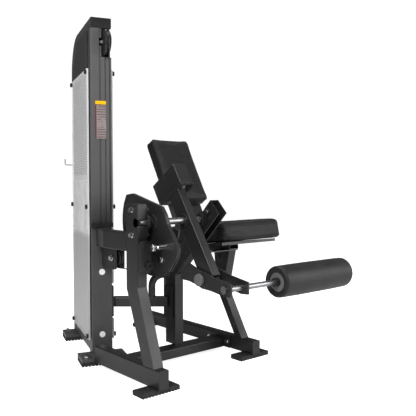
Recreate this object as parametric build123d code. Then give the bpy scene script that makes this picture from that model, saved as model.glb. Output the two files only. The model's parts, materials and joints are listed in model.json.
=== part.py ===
from build123d import *
import math
import os

# Selectorised leg extension machine, in millimetres, +Z up, the user faces -Y.
# The origin is on the floor, under the middle of the whole machine.

# Base and posts
LEFT_RAIL_X = -454.0
RIGHT_RAIL_X = 180.0
LEFT_RAIL_Y = (-441.0, 52.0)
RIGHT_RAIL_Y = (-328.0, 602.0)
RAIL_WIDTH = 48.0
LEFT_RAIL_HEIGHT = 78.0
RIGHT_RAIL_HEIGHT = 64.0
FOOT_THICK = 21.0
FOOT_SIZE = (182.0, 74.0)
CROSS_RAIL_Y = (-132.0, -52.0)
CROSS_RAIL_TOP = 67.0
TUBE_WALL = 3.5
CORNER = 5.0
POST_DEPTH = 84.0
POST_TOP = 751.0
POST_Y = -254.0
SEAT_POST_X = -91.0
SEAT_POST_Y = -41.0
SEAT_POST_DEPTH = 76.0

# Knee axis and lever
KNEE_Y = -282.0
KNEE_Z = 678.0
SHAFT_R = 15.0
CAM_X = -389.0
CAM_GROOVE_R = 212.0
CAM_FLANGE_R = 228.0
LEVER_X = (-222.5, -179.5)
LEVER_DEPTH = 80.0
LEVER_LEAN = 33.5
LEVER_TOP = 142.0
LEVER_BOTTOM = 290.0
ARM_PIVOT = (-402.0, 432.0)
ROLLER_AXIS = (-558.0, 409.0)
ROLLER_X = (70.0, 541.0)
ROLLER_R = 72.0

# Seat and back
SEAT_X = 218.0
SEAT_WIDTH = 426.0
SEAT_FRONT = (-270.0, 661.0)
SEAT_LENGTH = 470.0
SEAT_THICK = 96.0
SEAT_TILT = 7.0
BACK_WIDTH = 274.0
BACK_LEAN = 29.5
BACK_FOOT = (203.0, 746.0)
BACK_LENGTH = 405.0
BACK_THICK = 66.0

# Weight tower, in its own frame: origin on the floor at the middle of its front face
TOWER_XY = (-400.5, 113.5)
TOWER_TURN = -18.9
TOWER_WIDTH = 97.0
TOWER_HEIGHT = 1604.0
TOWER_FOOT = 34.0
ANCHOR_R = 6.5
COLUMN_DEPTH = 62.0
REAR_Y = (478.0, 530.0)
BEND_R = 180.0
BEAM_HEIGHT = 48.0
STACK_Y = 262.0
DROP = (32.0, -46.0)
PULLEY_R = 52.0
LOWER_PULLEY_R = 42.0
LOWER_PULLEY_Z = 499.0
TOP_PULLEY_Z = 1494.0
CABLE_R = 2.5
SLEEVE_R = 5.0
SLEEVE_BORE = 3.2
SLEEVE_LENGTH = 312.0
PLATE = (84.0, 300.0, 24.0)
PLATE_PITCH = 25.0
PLATES_DOWN = 10
PLATES_UP = 4
STACK_BASE = 150.0
ROD_SPACING = 210.0
CROSSBAR_Z = 1404.0
SEAT_RAIL_RISE = (-110.0, -135.0)
SEAT_RAIL_WIDTH = 60.0
START_PIN = (-69.0, -100.0)
START_RANGE = (-30.0, 15.0)
CARRIAGE_AT = 537.0
CARRIAGE_LENGTH = 90.0
POST_CRANK = 252.0

TOWER = Location((TOWER_XY[0], TOWER_XY[1], 0), (0, 0, TOWER_TURN))
ALONG_YZ = Plane(origin=(0, 0, 0), x_dir=(0, 1, 0), z_dir=(1, 0, 0))
CABLE_TURN = math.degrees(math.atan2(DROP[0], STACK_Y - DROP[1]))
DROP_Y = (TOWER * Location((DROP[0], DROP[1], 0))).position.Y
START_R = math.hypot(*START_PIN)
PIN_ANGLE = math.degrees(math.atan2(START_PIN[0], -START_PIN[1]))
LEVER_AXIS = Vector(0, math.sin(math.radians(LEVER_LEAN)), math.cos(math.radians(LEVER_LEAN)))


def block(x, y, z):
    """Box between pairs of limits."""
    solid = Box(x[1] - x[0], y[1] - y[0], z[1] - z[0])
    return Pos((x[0] + x[1]) / 2, (y[0] + y[1]) / 2, (z[0] + z[1]) / 2) * solid


def beam(start, end, wide, high, side=(1, 0, 0), wall=TUBE_WALL):
    """Open-ended rectangular tube; side is the direction of its width."""
    run = Vector(*end) - Vector(*start)
    plane = Plane(origin=start, x_dir=side, z_dir=run)
    outer = extrude(plane * RectangleRounded(wide, high, CORNER), run.length)
    bore = RectangleRounded(wide - 2 * wall, high - 2 * wall, max(CORNER - wall, 1.0))
    return outer - extrude(plane * bore, run.length)


def profile(points, x):
    """Plate with an outline in Y and Z, between two X limits."""
    plane = ALONG_YZ.offset(x[0])
    face = plane * make_face(Polyline(*points, close=True))
    return extrude(face, x[1] - x[0])


def rod(start, end, radius):
    """Round bar between two points."""
    run = Vector(*end) - Vector(*start)
    return extrude(Plane(origin=start, z_dir=run) * Circle(radius), run.length)


def bored(solid, start, end, radius):
    return solid - rod(start, end, radius)


def hex_bolt(head, direction, size=17.0, height=8.0, washer=11.0):
    """Hexagon head on a washer, seated at head and standing out along direction."""
    plane = Plane(origin=head, z_dir=direction)
    seat = extrude(plane * Circle(washer), 2)
    top = extrude(plane.offset(2) * RegularPolygon(size / 2, 6), height)
    return seat + top


def group(solids):
    return Compound(list(solids))


def cap(x, y, z, lip=4.0, plug=18.0, wall=TUBE_WALL + 0.3):
    """Plastic plug for a tube end facing -Y: a plate with a boss in the tube."""
    plate = block(x, (y - lip, y), z)
    plate = fillet(plate.edges().filter_by(Axis.Y), CORNER)
    boss = block((x[0] + wall, x[1] - wall), (y, y + plug), (z[0] + wall, z[1] - wall))
    return plate + fillet(boss.edges().filter_by(Axis.Y), 1.5)


def foot(x, y, thick):
    """Rubber foot with a grooved lower edge on its long sides."""
    pad = block((x - FOOT_SIZE[0] / 2, x + FOOT_SIZE[0] / 2), (y, y + FOOT_SIZE[1]), (0, thick))
    pad = chamfer(pad.edges().group_by(Axis.Z)[-1], 3)
    for n in range(11):
        notch_x = x - 80 + 16 * n
        pad -= block((notch_x - 3, notch_x + 3), (y - 1, y + FOOT_SIZE[1] + 1), (-1, 4))
    return pad


# ---------------------------------------------------------------- base frame

def base_rails():
    half = RAIL_WIDTH / 2
    left_z = FOOT_THICK + LEFT_RAIL_HEIGHT / 2
    right_z = FOOT_THICK + RIGHT_RAIL_HEIGHT / 2
    left = beam((LEFT_RAIL_X, LEFT_RAIL_Y[0], left_z), (LEFT_RAIL_X, LEFT_RAIL_Y[1], left_z),
                RAIL_WIDTH, LEFT_RAIL_HEIGHT)
    right = beam((RIGHT_RAIL_X, RIGHT_RAIL_Y[0], right_z), (RIGHT_RAIL_X, RIGHT_RAIL_Y[1], right_z),
                 RAIL_WIDTH, RIGHT_RAIL_HEIGHT)
    cross_z = CROSS_RAIL_TOP - 23
    cross_y = sum(CROSS_RAIL_Y) / 2
    cross = beam((LEFT_RAIL_X + half, cross_y, cross_z), (RIGHT_RAIL_X - half - 8, cross_y, cross_z),
                 46, CROSS_RAIL_Y[1] - CROSS_RAIL_Y[0], side=(0, 0, 1))
    flange_x = (RIGHT_RAIL_X - half - 8, RIGHT_RAIL_X - half)
    flange = block(flange_x, (CROSS_RAIL_Y[0] - 45, CROSS_RAIL_Y[1] + 45), (24, 82))
    bolts = []
    for y in (CROSS_RAIL_Y[0] - 26, CROSS_RAIL_Y[1] + 26):
        bolts.append(hex_bolt((flange_x[0], y, 54), (-1, 0, 0)))
    return left, right, cross, flange, bolts


def rail_caps():
    half = RAIL_WIDTH / 2
    left_x = (LEFT_RAIL_X - half, LEFT_RAIL_X + half)
    right_x = (RIGHT_RAIL_X - half, RIGHT_RAIL_X + half)
    left_z = (FOOT_THICK, FOOT_THICK + LEFT_RAIL_HEIGHT)
    right_z = (FOOT_THICK, FOOT_THICK + RIGHT_RAIL_HEIGHT)
    front = [cap(left_x, LEFT_RAIL_Y[0], left_z), cap(right_x, RIGHT_RAIL_Y[0], right_z)]
    back = mirror(cap(right_x, -RIGHT_RAIL_Y[1], right_z), Plane.XZ)
    return front + [back, post_cap()]


def rail_feet():
    spots = [(LEFT_RAIL_X, LEFT_RAIL_Y[0] + 10), (RIGHT_RAIL_X, RIGHT_RAIL_Y[0] + 4),
             (RIGHT_RAIL_X, RIGHT_RAIL_Y[1] - FOOT_SIZE[1] - 6)]
    return [foot(x, y, FOOT_THICK) for x, y in spots]


# --------------------------------------------------------------------- posts

def bearing_post():
    """Upright with a forward-kicked lower leg; it carries the left shaft bearing."""
    low = FOOT_THICK + LEFT_RAIL_HEIGHT
    back = POST_Y + POST_DEPTH / 2
    front = POST_Y - POST_DEPTH / 2
    kick = 113.0
    knee = 410.0
    outer = [(front - kick, low), (back - kick - 12, low), (back, knee), (back, POST_TOP),
             (front, POST_TOP), (front, knee)]
    w = TUBE_WALL
    inner = [(front - kick + w, low - 1), (back - kick - 12 - w, low - 1), (back - w, knee),
             (back - w, POST_TOP + 1), (front + w, POST_TOP + 1), (front + w, knee)]
    x = (LEFT_RAIL_X - RAIL_WIDTH / 2, LEFT_RAIL_X + RAIL_WIDTH / 2)
    post = profile(outer, x) - profile(inner, (x[0] + w, x[1] - w))
    post = fillet(post.edges().filter_by(Axis.Z).filter_by_position(Axis.X, x[0] - 1, x[0] + 0.1), CORNER)
    return bored(post, (x[0] - 1, KNEE_Y, KNEE_Z), (x[1] + 1, KNEE_Y, KNEE_Z), SHAFT_R + 4)


def post_cap():
    x = (LEFT_RAIL_X - RAIL_WIDTH / 2, LEFT_RAIL_X + RAIL_WIDTH / 2)
    y = (POST_Y - POST_DEPTH / 2, POST_Y + POST_DEPTH / 2)
    top = fillet(block(x, y, (POST_TOP, POST_TOP + 4)).edges().filter_by(Axis.Z), CORNER)
    lip = TUBE_WALL + 0.3
    return top + block((x[0] + lip, x[1] - lip), (y[0] + lip, y[1] - lip), (POST_TOP - 16, POST_TOP))


def seat_post():
    """Upright on the cross rail with a leaning head that carries the right bearing."""
    front = SEAT_POST_Y - SEAT_POST_DEPTH / 2
    back = SEAT_POST_Y + SEAT_POST_DEPTH / 2
    outer = [(front, CROSS_RAIL_TOP), (back, CROSS_RAIL_TOP), (back, 436), (-333, 766),
             (-390, 709), (front, 404)]
    w = TUBE_WALL
    inner = [(front + w, CROSS_RAIL_TOP - 1), (back - w, CROSS_RAIL_TOP - 1), (back - w, 434),
             (-338, 766), (-395, 709), (front + w, 406)]
    x = (SEAT_POST_X - RAIL_WIDTH / 2, SEAT_POST_X + RAIL_WIDTH / 2)
    post = profile(outer, x) - profile(inner, (x[0] + w, x[1] - w))
    return bored(post, (x[0] - 1, KNEE_Y, KNEE_Z), (x[0] + 12, KNEE_Y, KNEE_Z), SHAFT_R + 4)


def front_strut():
    """Leaning leg from the right rail to the seat bracket."""
    top = FOOT_THICK + RIGHT_RAIL_HEIGHT
    x = (RIGHT_RAIL_X - 23, RIGHT_RAIL_X + 23)
    outer = [(-254, top), (-208, top), (-52, 342), (-100, 342)]
    w = TUBE_WALL
    inner = [(-254 + w, top - 1), (-208 - w, top - 1), (-52 - w, 343), (-100 + w, 343)]
    return profile(outer, x) - profile(inner, (x[0] + w, x[1] - w))


def seat_bracket():
    """Forward-leaning head on the strut: front strap, two cheeks, foot and top plates."""
    x = (RIGHT_RAIL_X - 23, RIGHT_RAIL_X + 23)
    top = SEAT_RAIL_RISE[1]
    strap = profile([(-126, 342), (-118, 342), seat_frame(132, top - 6), seat_frame(124, top - 6)], x)
    foot_plate = block(x, (-126, -50), (342, 350))
    top_plate = profile([seat_frame(120, top - 6), seat_frame(245, top - 6), seat_frame(245, top),
                         seat_frame(120, top)], (RIGHT_RAIL_X - 145, RIGHT_RAIL_X + 32))
    cheek = [(-120, 346), (-66, 346), seat_frame(240, top - 5), seat_frame(128, top - 5)]
    bracket = strap + foot_plate + top_plate
    for cheek_x in (x[0] + 2, x[1] - 8):
        bracket = bracket + profile(cheek, (cheek_x, cheek_x + 6))
    return bored(bracket, (x[0] - 1, -98, 478), (x[1] + 1, -98, 478), 13)


def rear_leg():
    """Short upright from the right rail to the back end of the seat rail."""
    low = FOOT_THICK + RIGHT_RAIL_HEIGHT
    y = (344.0, 386.0)
    top = [seat_rail_point(y[0], 0), seat_rail_point(y[1], 0)]
    w = TUBE_WALL
    outer = [(y[0], low), (y[1], low), top[1], top[0]]
    inner = [(y[0] + w, low - 1), (y[1] - w, low - 1), (y[1] - w, top[1][1] + 5), (y[0] + w, top[0][1] + 5)]
    x = (RIGHT_RAIL_X - 20, RIGHT_RAIL_X + 20)
    return profile(outer, x) - profile(inner, (x[0] + w, x[1] - w))


def brace():
    """Low rail from the tower to the seat post, its two end plates and a bent stay."""
    start = Vector(-316, 148, 269)
    end = Vector(-118, -22, 269)
    rail = beam(start, end, 48, 46, side=(0.6514, 0.7587, 0))
    post_face = SEAT_POST_X - RAIL_WIDTH / 2
    cut = block((post_face, post_face + 60), (-120, 120), (200, 330))
    plate = block((post_face - 9, post_face), (-62, 2), (196, 346))
    rail = rail - cut - block((post_face - 9, post_face), (-62, 60), (196, 346))
    tower_plate = TOWER * block((TOWER_WIDTH / 2, TOWER_WIDTH / 2 + 10), (14, 122), (205, 352))
    rail = rail - tower_plate
    foot = (-176, 27, 292)
    stay_path = FilletPolyline(foot, (-176, 27, 400), (post_face + 8, -31, 400), radius=56)
    stay = sweep(Plane(origin=foot, z_dir=(0, 0, 1)) * Circle(17), path=stay_path)
    stay = stay - block((post_face, post_face + 60), (-120, 60), (330, 450))
    return [rail, stay], [plate, tower_plate]


def link_arm():
    """Mitred tube from the bearing post to the front column."""
    knee = Vector(LEFT_RAIL_X, -32, 595)
    start = Vector(LEFT_RAIL_X, POST_Y + POST_DEPTH / 2, 595)
    column = TOWER * Location((-2, 0, 595))
    end = column.position
    first = beam(start, knee + Vector(0, 40, 0), RAIL_WIDTH, 80)
    turn = (end - knee).normalized()
    side = Vector(turn.Y, -turn.X, 0)
    second = beam(knee - turn * 40, end, RAIL_WIDTH, 80, side=side)
    bisect = Vector(0, 1, 0) + turn
    mitre = Plane(origin=knee, z_dir=bisect)
    first = split(first, mitre, keep=Keep.BOTTOM)
    second = split(second, mitre, keep=Keep.TOP)
    return first + second - TOWER * block((-70, 70), (0, 90), (500, 700))


# --------------------------------------------------------------------- tower

def tower_column():
    """Front column tube, standing on its foot plate."""
    y = COLUMN_DEPTH / 2
    column = beam((0, y, TOWER_FOOT), (0, y, TOWER_HEIGHT - BEAM_HEIGHT), TOWER_WIDTH, COLUMN_DEPTH)
    slot = block((2, 52), (-5, COLUMN_DEPTH + 5), (1420, TOWER_HEIGHT))
    slot += block((-9, 3), (-5, 26), (TOP_PULLEY_Z - 18, TOP_PULLEY_Z + 18))
    holes = []
    for z in (424, 128):
        holes.append(rod((0, -1, z), (0, 20, z), 12))
    return TOWER * (column - slot - holes[0] - holes[1])


def column_plugs():
    plugs = []
    for z in (424, 128):
        disc = rod((0, -1.2, z), (0, 0, z), 14)
        plugs.append(TOWER * (disc + rod((0, 0, z), (0, 3, z), 11.7)))
    return group(plugs)


def tower_bow():
    """Top beam and rear column, one bent tube."""
    rise = TOWER_HEIGHT - BEAM_HEIGHT / 2
    back = (REAR_Y[0] + REAR_Y[1]) / 2
    bend = BEND_R - BEAM_HEIGHT / 2
    path = FilletPolyline((0, -4, rise), (0, back, rise), (0, back, TOWER_FOOT), radius=bend)
    start = Plane(origin=(0, -4, rise), x_dir=(1, 0, 0), z_dir=(0, 1, 0))
    w = 2 * TUBE_WALL
    outer = sweep(start * RectangleRounded(TOWER_WIDTH, BEAM_HEIGHT, CORNER), path=path)
    inner = sweep(start * Rectangle(TOWER_WIDTH - w, BEAM_HEIGHT - w), path=path)
    return TOWER * (outer - inner)


def beam_cap():
    z = (TOWER_HEIGHT - BEAM_HEIGHT, TOWER_HEIGHT)
    half = TOWER_WIDTH / 2
    plate = fillet(block((-half, half), (-10, -4), z).edges().filter_by(Axis.Y), CORNER)
    return TOWER * fillet(plate.edges().group_by(Axis.Y)[0], 2)


def column_guard():
    """Ribbed cover on the column's front, with a slot for the pulley."""
    half = TOWER_WIDTH / 2
    guard = block((-half - 1, half + 1), (-10, -0.3), (656, TOWER_HEIGHT - BEAM_HEIGHT - 1))
    guard = fillet(guard.edges().filter_by(Axis.Z).group_by(Axis.Y)[0], 5)
    for x, width in ((-5, 7), (20, 5)):
        guard -= block((x - width / 2, x + width / 2), (-11, -6), (640, TOWER_HEIGHT))
    guard -= block((2, 60), (-11, 1), (1424, TOWER_HEIGHT))
    guard -= block((-9, 3), (-11, 1), (TOP_PULLEY_Z - 18, TOP_PULLEY_Z + 18))
    return TOWER * guard


def guard_shoe():
    half = TOWER_WIDTH / 2
    shoe = block((-half - 5, half + 4), (-17, -0.3), (636, 655.5))
    shoe = fillet(shoe.edges().filter_by(Axis.Z).group_by(Axis.Y)[0], 4)
    return TOWER * shoe


def tower_base():
    """Foot plates, their rubber feet, and the rail that joins the columns."""
    feet = []
    plates = []
    for y in (-66.0, 420.0):
        plate = block((-108, 108), (y, y + 128), (FOOT_THICK, TOWER_FOOT))
        for x in (-14, 14):
            plate -= rod((x, y + (16 if y < 0 else 118), 0), (x, y + (16 if y < 0 else 118), 40), ANCHOR_R)
        plates.append(plate)
        for x in (-64, 64):
            pad = block((x - 44, x + 44), (y, y + 128), (0, FOOT_THICK))
            for n in range(5):
                pad -= block((x - 35 + 16 * n, x - 29 + 16 * n), (y - 1, y + 129), (-1, 4))
            feet.append(TOWER * pad)
    front = COLUMN_DEPTH
    rail = beam((0, front, 66), (0, REAR_Y[0], 66), TOWER_WIDTH - 10, 60)
    bolts = []
    for y in (-44.0, 524.0):
        for x in (-84, 84):
            bolts.append(TOWER * hex_bolt((x, y, TOWER_FOOT), (0, 0, 1)))
    base = [TOWER * plate for plate in plates] + [TOWER * rail]
    tongue_x = (LEFT_RAIL_X - RAIL_WIDTH / 2 + TUBE_WALL, LEFT_RAIL_X + RAIL_WIDTH / 2 - TUBE_WALL)
    tongue = block(tongue_x, (LEFT_RAIL_Y[1] - 70, 160), (TOWER_FOOT, TOWER_FOOT + 10))
    tongue -= TOWER * block((-120, 120), (0, 90), (0, 200))
    return feet, base + [tongue], bolts


def shroud(side):
    """Side panel of the stack: a framed sheet with rows of round holes."""
    x = side * 57.0
    y = (22, 447)
    z = (100, 1374)
    panel = block((x - 1.5, x + 1.5), y, z)
    frame = block((x - 4, x + 4), y, z)
    frame -= block((x - 5, x + 5), (y[0] + 14, y[1] - 14), (z[0] + 14, z[1] - 14))
    panel = panel + frame
    if side > 0:
        panel -= block((x - 6, x + 6), (STACK_Y - 48, STACK_Y + 48), (130, 780))
        panel -= block((x - 6, x + 6), (10, 126), (195, 362))
    return TOWER * panel


def upper_shroud(side):
    x = side * 52.5
    sheet = [(63, 1555.5), (63, 1378), (452, 1378), (452, 1432), (330, 1555.5)]
    return TOWER * profile(sheet, (x - 1.5, x + 1.5))


def standoffs():
    """Knobbed spacers that hold the two side panels."""
    pieces = []
    for side in (-1, 1):
        for y in (32, 437):
            for z in (118, 730, 1358):
                stem_end = side * 53.0
                start = side * 43.5
                spacer = rod((start if y > 60 else side * 48.5, y, z), (stem_end, y, z), 6)
                knob = rod((side * 61.0, y, z), (side * 71.0, y, z), 11)
                pieces.append(TOWER * spacer)
                pieces.append(TOWER * fillet(knob.edges(), 2))
    return group(pieces)


def towel_hook():
    root = (-TOWER_WIDTH / 2, 512, 940)
    path = FilletPolyline(root, (-90, 512, 940), (-90, 512, 972), radius=9)
    start = Plane(origin=root, z_dir=(-1, 0, 0))
    return TOWER * sweep(start * Circle(2.5), path=path)


def warning_plate():
    """Blank coloured plates on the guard."""
    upper = block((-28, 22), (-11.2, -10.1), (1206, 1222))
    lower = block((-28, 22), (-11.2, -10.1), (1048, 1202))
    return [TOWER * upper, TOWER * lower]


# --------------------------------------------------------------- weight stack

def stack_plate(z, bottom_bore):
    """One weight plate: rod holes, a stem bore and a hole for the selector pin."""
    x, y, thick = PLATE
    plate = block((-x / 2, x / 2), (STACK_Y - y / 2, STACK_Y + y / 2), (z, z + thick))
    plate = fillet(plate.edges().filter_by(Axis.Z), 6)
    for offset in (-ROD_SPACING / 2, ROD_SPACING / 2):
        plate -= rod((0, STACK_Y + offset, z - 1), (0, STACK_Y + offset, z + thick + 1), 11.5)
    plate -= rod((0, STACK_Y, z - 1), (0, STACK_Y, z + thick + 1), bottom_bore)
    plate -= rod((-x, STACK_Y, z + thick / 2), (x, STACK_Y, z + thick / 2), 5.3)
    return TOWER * plate


def cable_sleeve(z):
    """Long end sleeve on top of the stem, open at its mouth: it takes in the cable as the stack rises."""
    sleeve = rod((0, STACK_Y, z - 1), (0, STACK_Y, z + SLEEVE_LENGTH), SLEEVE_R)
    return sleeve - rod((0, STACK_Y, z + 2), (0, STACK_Y, z + SLEEVE_LENGTH + 1), SLEEVE_BORE)


def weight_stack():
    down = []
    up = []
    for n in range(PLATES_DOWN):
        down.append(stack_plate(STACK_BASE + n * PLATE_PITCH, 13.5))
    top = STACK_BASE + PLATES_DOWN * PLATE_PITCH
    for n in range(PLATES_UP):
        up.append(stack_plate(top + n * PLATE_PITCH, 13.5))
    head_z = top + PLATES_UP * PLATE_PITCH
    head = block((-36, 36), (STACK_Y - 140, STACK_Y + 140), (head_z, head_z + 38))
    head = fillet(head.edges().filter_by(Axis.Z), 8)
    for offset in (-ROD_SPACING / 2, ROD_SPACING / 2):
        head -= rod((0, STACK_Y + offset, head_z - 1), (0, STACK_Y + offset, head_z + 39), 9.56)
    stem = rod((0, STACK_Y, STACK_BASE + 10), (0, STACK_Y, head_z + 62), 11)
    head -= rod((0, STACK_Y, head_z - 1), (0, STACK_Y, head_z + 39), 11)
    pin_z = top + PLATE[2] / 2
    for n in range(PLATES_DOWN + PLATES_UP):
        z = STACK_BASE + n * PLATE_PITCH + PLATE[2] / 2
        stem -= rod((-20, STACK_Y, z), (20, STACK_Y, z), 5.2)
    stem += cable_sleeve(head_z + 62)
    pin = rod((-PLATE[0] / 2 + 4, STACK_Y, pin_z), (PLATE[0] / 2 + 1, STACK_Y, pin_z), 4.8)
    handle = rod((PLATE[0] / 2 + 1, STACK_Y, pin_z), (PLATE[0] / 2 + 10, STACK_Y, pin_z), 15)
    pin = pin + fillet(handle.edges(), 3)
    return down, up, TOWER * head, TOWER * stem, TOWER * pin


def guide_rods():
    rods = []
    for offset in (-ROD_SPACING / 2, ROD_SPACING / 2):
        y = STACK_Y + offset
        rods.append(TOWER * rod((0, y, 96.5), (0, y, CROSSBAR_Z), 9.5))
    return rods


def stack_bumpers():
    bumpers = []
    for offset in (-ROD_SPACING / 2, ROD_SPACING / 2):
        y = STACK_Y + offset
        ring = rod((0, y, 96.5), (0, y, STACK_BASE), 24) - rod((0, y, 90), (0, y, STACK_BASE + 1), 9.5)
        bumpers.append(TOWER * ring)
    return bumpers


def crossbar():
    """Flat bar between the columns that holds the tops of the guide rods."""
    bar = block((-20, 20), (COLUMN_DEPTH, REAR_Y[0]), (CROSSBAR_Z, CROSSBAR_Z + 14))
    bar -= rod((0, STACK_Y, CROSSBAR_Z - 1), (0, STACK_Y, CROSSBAR_Z + 15), 9)
    return TOWER * bar


# ------------------------------------------------------------ pulleys and cable


def sheave(radius, width=20.0, bore=8.05):
    """Grooved wheel on the local Z axis, its groove centred at z = 0."""
    half = width / 2
    wheel = extrude(Plane.XY.offset(-half) * Circle(radius + 5), width)
    groove = Torus(radius + CABLE_R, 4.0)
    ring = extrude(Plane.XY.offset(-4) * Circle(radius + 6), 8) - extrude(Plane.XY.offset(-5) * Circle(radius + 2), 10)
    wheel = wheel - ring - groove
    wheel -= extrude(Plane.XY.offset(-half - 1) * Circle(bore), width + 2)
    for n in range(5):
        angle = math.radians(72 * n)
        spot = Pos(radius * 0.6 * math.cos(angle), radius * 0.6 * math.sin(angle), 0)
        wheel -= spot * Cylinder(radius * 0.17, width + 2)
    return wheel


def cable_plane(y):
    """Axis frame of a top pulley: on the line from the stack to the drop, y along the tower."""
    share = (STACK_Y - y) / (STACK_Y - DROP[1])
    return TOWER * Location((share * DROP[0], y, TOP_PULLEY_Z), (0, 0, CABLE_TURN))


def pulley_stations():
    reach = PULLEY_R + CABLE_R
    run = reach * math.cos(math.radians(CABLE_TURN))
    rear = cable_plane(STACK_Y - run)
    front = cable_plane(DROP[1] + run)
    drop = (TOWER * Location((DROP[0], DROP[1], 0))).position
    lower = Location((drop.X, drop.Y - LOWER_PULLEY_R - CABLE_R, LOWER_PULLEY_Z))
    return rear, front, lower


def top_pulleys():
    rear, front, lower = pulley_stations()
    turn = Rot(0, 90, 0)
    wheels = [rear * turn * sheave(PULLEY_R), front * turn * sheave(PULLEY_R),
              lower * turn * sheave(LOWER_PULLEY_R)]
    axles = []
    for spot, reach in ((rear, (-26, 26)), (front, (-21, 14)), (lower, (-24, 24))):
        axles.append(spot * rod((reach[0], 0, 0), (reach[1], 0, 0), 8))
        axles.append(spot * hex_bolt((reach[0], 0, 0), (-1, 0, 0), size=22, height=8, washer=13))
    return wheels, axles


def rear_pulley_bracket():
    rear = pulley_stations()[0]
    ears = []
    for side in (-1, 1):
        ear = block((side * 18 - 3, side * 18 + 3), (-22, 22), (-24, TOWER_HEIGHT - BEAM_HEIGHT - TOP_PULLEY_Z))
        ear -= rod((-40, 0, 0), (40, 0, 0), 8)
        ears.append(rear * ear)
    return ears


def front_pulley_bracket():
    """Cheek plate beside the front pulley, standing out through the guard."""
    front = pulley_stations()[1]
    cheek = block((-21, -14), (-62, 30), (-62, 51))
    cheek = fillet(cheek.edges().filter_by(Axis.X).group_by(Axis.Y)[0], 16)
    cheek -= rod((-40, 0, 0), (40, 0, 0), 8)
    return front * cheek


def lower_pulley_bracket():
    lower = pulley_stations()[2]
    cheeks = []
    for side in (-1, 1):
        x = side * 21
        cheek = block((x - 3, x + 3), (-36, 83), (-50, 50))
        cheek = fillet(cheek.edges().filter_by(Axis.X).group_by(Axis.Z)[0], 12)
        cheek -= rod((-60, 0, 0), (60, 0, 0), 8)
        cheeks.append(lower * cheek)
    spot = lower.position
    bridge_z = (spot.Z + 50, 555)
    bridge = block((LEFT_RAIL_X + 12, spot.X + 24), (spot.Y - 36, spot.Y + 83), bridge_z)
    bridge -= rod((spot.X, DROP_Y, 500), (spot.X, DROP_Y, 600), 8)
    return cheeks[0] + cheeks[1] + bridge


def cable_tangent():
    """Point and angle where the cable meets the cam, below both wheels."""
    lower = pulley_stations()[2].position
    gap_y = lower.Y - KNEE_Y
    gap_z = lower.Z - KNEE_Z
    span = math.hypot(gap_y, gap_z)
    slope = math.asin((CAM_GROOVE_R - LOWER_PULLEY_R) / span) + math.atan2(gap_z, gap_y)
    return slope


def cable():
    """Steel cable from the stem's sleeve over the top pulleys, down, under, and onto the cam."""
    r = PULLEY_R + CABLE_R
    top = TOP_PULLEY_Z + r
    stem_top = STACK_BASE + (PLATES_DOWN + PLATES_UP) * PLATE_PITCH + 38 + 24
    head = stem_top + SLEEVE_LENGTH - 4
    low_r = LOWER_PULLEY_R + CABLE_R
    cam_r = CAM_GROOVE_R + CABLE_R
    slope = cable_tangent()
    lower = pulley_stations()[2].position
    stack = (TOWER * Location((0, STACK_Y, 0))).position
    drop = (TOWER * Location((DROP[0], DROP[1], 0))).position
    leave = Vector(lower.X, lower.Y + low_r * math.sin(slope), lower.Z - low_r * math.cos(slope))
    meet = Vector(lower.X, KNEE_Y + cam_r * math.sin(slope), KNEE_Z - cam_r * math.cos(slope))
    down_run = (meet - leave).normalized()
    reach = (drop.Y - leave.Y) / down_run.Y
    corner = leave + down_run * reach
    path = FilletPolyline((stack.X, stack.Y, head), (stack.X, stack.Y, top), (drop.X, drop.Y, top),
                          (drop.X, drop.Y, corner.Z), meet, radius=[r, r, low_r])
    wrap = math.radians(27)
    ends = []
    for share in (0.5, 1.0):
        angle = slope - wrap * share
        ends.append((lower.X, KNEE_Y + cam_r * math.sin(angle), KNEE_Z - cam_r * math.cos(angle)))
    arc = ThreePointArc(meet, ends[0], ends[1])
    start = Plane(origin=(stack.X, stack.Y, head), z_dir=(0, 0, 1))
    run = sweep(start * Circle(CABLE_R), path=path)
    onto = sweep(Plane(origin=meet, z_dir=down_run) * Circle(CABLE_R), path=arc)
    print("cable", round(path.length + arc.length), "mm, volume ratio",
          round((run.volume + onto.volume) / (math.pi * CABLE_R ** 2 * (path.length + arc.length)), 4))
    return run + onto, ends[1]


# ------------------------------------------------------------ knee mechanism

def knee(x, y=0.0, z=0.0):
    return (x, KNEE_Y + y, KNEE_Z + z)


def cam(cable_x):
    """Sector-shaped cam: two flanges and a cable groove, free on the shaft."""
    outline = []
    for degrees in range(-31, 116, 7):
        angle = math.radians(degrees)
        outline.append((CAM_FLANGE_R * math.sin(angle), -CAM_FLANGE_R * math.cos(angle)))
    outline += [(196, 112), (150, 118), (-64, 66), (-90, 34), (-106, -4), (-142, -50), (-176, -100),
                (-164, -140)]
    points = [(KNEE_Y + y, KNEE_Z + z) for y, z in outline]
    half = 8.0
    plate = profile(points, (cable_x - half, cable_x + half))
    trench = rod((cable_x - 3.2, KNEE_Y, KNEE_Z), (cable_x + 3.2, KNEE_Y, KNEE_Z), CAM_FLANGE_R + 20)
    trench -= rod((cable_x - 4, KNEE_Y, KNEE_Z), (cable_x + 4, KNEE_Y, KNEE_Z), CAM_GROOVE_R)
    plate -= trench
    hub = rod(knee(cable_x - 14), knee(cable_x + 20), 34)
    window = profile([(KNEE_Y + 60, KNEE_Z - 120), (KNEE_Y + 160, KNEE_Z - 60),
                      (KNEE_Y + 150, KNEE_Z + 40), (KNEE_Y + 60, KNEE_Z + 30)], (cable_x - 20, cable_x + 20))
    window = fillet(window.edges().filter_by(Axis.X), 16)
    body = plate + hub - window
    body = bored(body, knee(cable_x - 9, *START_PIN), knee(cable_x + 9, *START_PIN), 6.05)
    return bored(body, knee(cable_x - 30), knee(cable_x + 40), SHAFT_R + 0.05)


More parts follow.
